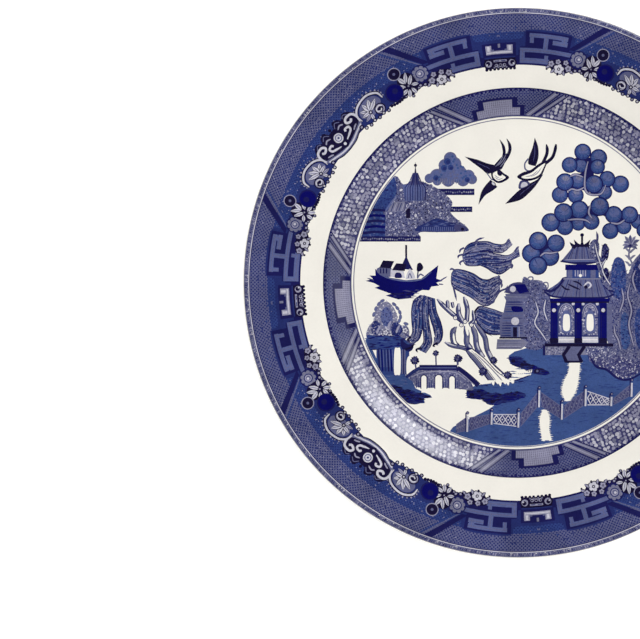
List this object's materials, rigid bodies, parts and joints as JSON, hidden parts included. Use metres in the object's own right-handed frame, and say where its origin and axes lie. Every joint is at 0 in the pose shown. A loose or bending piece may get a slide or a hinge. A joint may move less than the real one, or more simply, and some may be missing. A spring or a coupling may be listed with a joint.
{
  "type": "dinner plate",
  "caption": "Round rimmed dinner plate on a foot ring, with a blue underglaze scene, a verge band and a wide rim border.",
  "frame": {"origin": "centre of the circle that the foot ring stands on", "axes": "+Z along the plate's axis, out of the food side; +Y towards the top of the printed scene; +X to the scene's right"},
  "size_m": [0.26, 0.26, 0.0235],
  "materials": {
    "biscuit": "matte",
    "glaze": "gloss",
    "cobalt_rim": "gloss",
    "cobalt_verge": "gloss",
    "cobalt_scene": "gloss",
    "cobalt_mark": "gloss"
  },
  "bodies": {
    "root": {"biscuit_body": "biscuit", "glaze_coat": "glaze", "foot_recess_glaze": "glaze", "rim_border_print": "cobalt_rim", "verge_band_print": "cobalt_verge", "centre_scene_print": "cobalt_scene", "back_mark_print": "cobalt_mark"}
  },
  "joints": []
}
